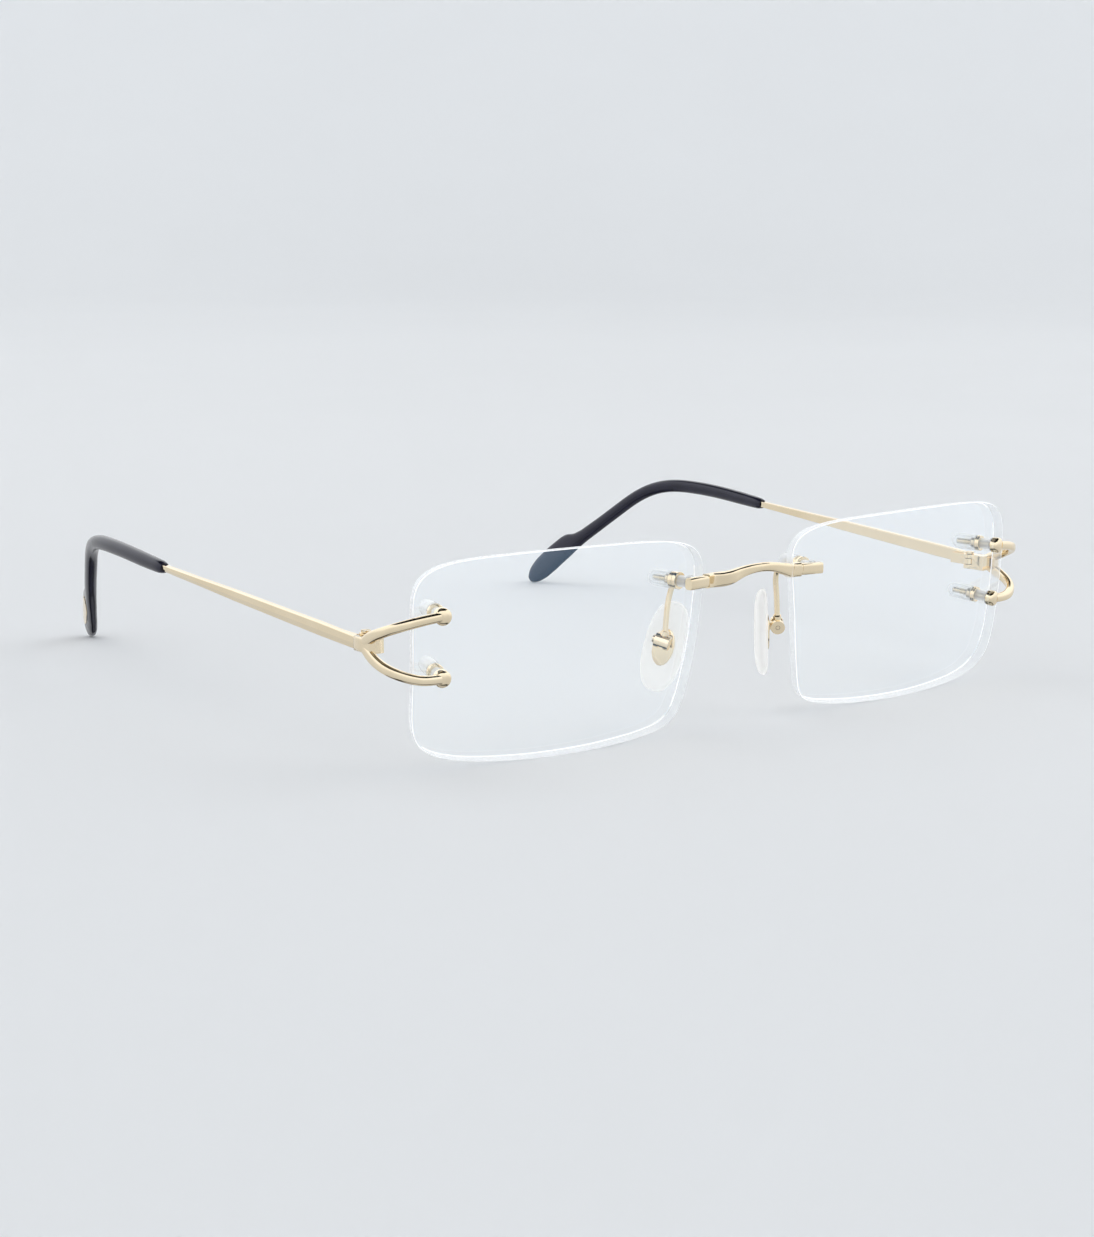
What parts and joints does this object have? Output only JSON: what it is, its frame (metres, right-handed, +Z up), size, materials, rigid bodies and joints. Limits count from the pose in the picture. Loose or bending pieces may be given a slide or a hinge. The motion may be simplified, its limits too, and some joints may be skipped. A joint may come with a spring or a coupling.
{
  "type": "rimless eyeglasses",
  "caption": "Rimless eyeglasses with clear rounded-rectangle lenses, polished gold bridge and forked end pieces, slim folding temples, black tips and clear rocking nose pads.",
  "frame": {"origin": "on the surface the glasses stand on, under the middle of their bounding box", "axes": "+X towards the wearer's left, -Y the way the lenses face, +Z up"},
  "size_m": [0.1472, 0.149, 0.0355],
  "materials": {
    "gold": "polished pale gold plating",
    "lens": "clear, polished, faint cool reflection",
    "clear_plastic": "clear, glossy",
    "pad_silicone": "milky clear, soft sheen",
    "tip": "glossy blue-black"
  },
  "bodies": {
    "front": {"bridge": "gold", "lens_left": "lens", "post_nasal_left": "gold", "bush_nasal_left": "clear_plastic", "nut_nasal_left": "gold", "cap_nasal_left": "clear_plastic", "post_upper_left": "gold", "bush_upper_left": "clear_plastic", "nut_upper_left": "gold", "cap_upper_left": "clear_plastic", "post_lower_left": "gold", "bush_lower_left": "clear_plastic", "nut_lower_left": "gold", "cap_lower_left": "clear_plastic", "end_piece_left": "gold", "hinge_front_left": "gold", "hinge_screw_left": "gold", "pad_arm_left": "gold", "pad_box_left": "gold", "pad_screw_left": "gold", "lens_right": "lens", "post_nasal_right": "gold", "bush_nasal_right": "clear_plastic", "nut_nasal_right": "gold", "cap_nasal_right": "clear_plastic", "post_upper_right": "gold", "bush_upper_right": "clear_plastic", "nut_upper_right": "gold", "cap_upper_right": "clear_plastic", "post_lower_right": "gold", "bush_lower_right": "clear_plastic", "nut_lower_right": "gold", "cap_lower_right": "clear_plastic", "end_piece_right": "gold", "hinge_front_right": "gold", "hinge_screw_right": "gold", "pad_arm_right": "gold", "pad_box_right": "gold", "pad_screw_right": "gold"},
    "left_temple": {"temple_left": "gold", "temple_tip_left": "tip", "tip_inlay_left": "gold", "hinge_temple_left": "gold"},
    "left_pad": {"pad_plate_left": "gold", "nose_pad_left": "pad_silicone"},
    "right_temple": {"temple_right": "gold", "temple_tip_right": "tip", "tip_inlay_right": "gold", "hinge_temple_right": "gold"},
    "right_pad": {"pad_plate_right": "gold", "nose_pad_right": "pad_silicone"}
  },
  "joints": [
    {"name": "left_temple_fold", "type": "hinge", "parent": "front", "child": "left_temple", "pos_m": [0.0693, -0.05616, 0.021], "axis": [0, 0, 1], "range_deg": [0, 87]},
    {"name": "right_temple_fold", "type": "hinge", "parent": "front", "child": "right_temple", "pos_m": [-0.0693, -0.05616, 0.021], "axis": [0, 0, -1], "range_deg": [0, 82]},
    {"name": "left_pad_rock", "type": "hinge", "parent": "front", "child": "left_pad", "pos_m": [0.01323, -0.06337, 0.01558], "axis": [-0.5511, -0.7955, -0.2521], "range_deg": [-12, 12]},
    {"name": "right_pad_rock", "type": "hinge", "parent": "front", "child": "right_pad", "pos_m": [-0.01323, -0.06337, 0.01558], "axis": [-0.5511, 0.7955, 0.2521], "range_deg": [-12, 12]}
  ]
}
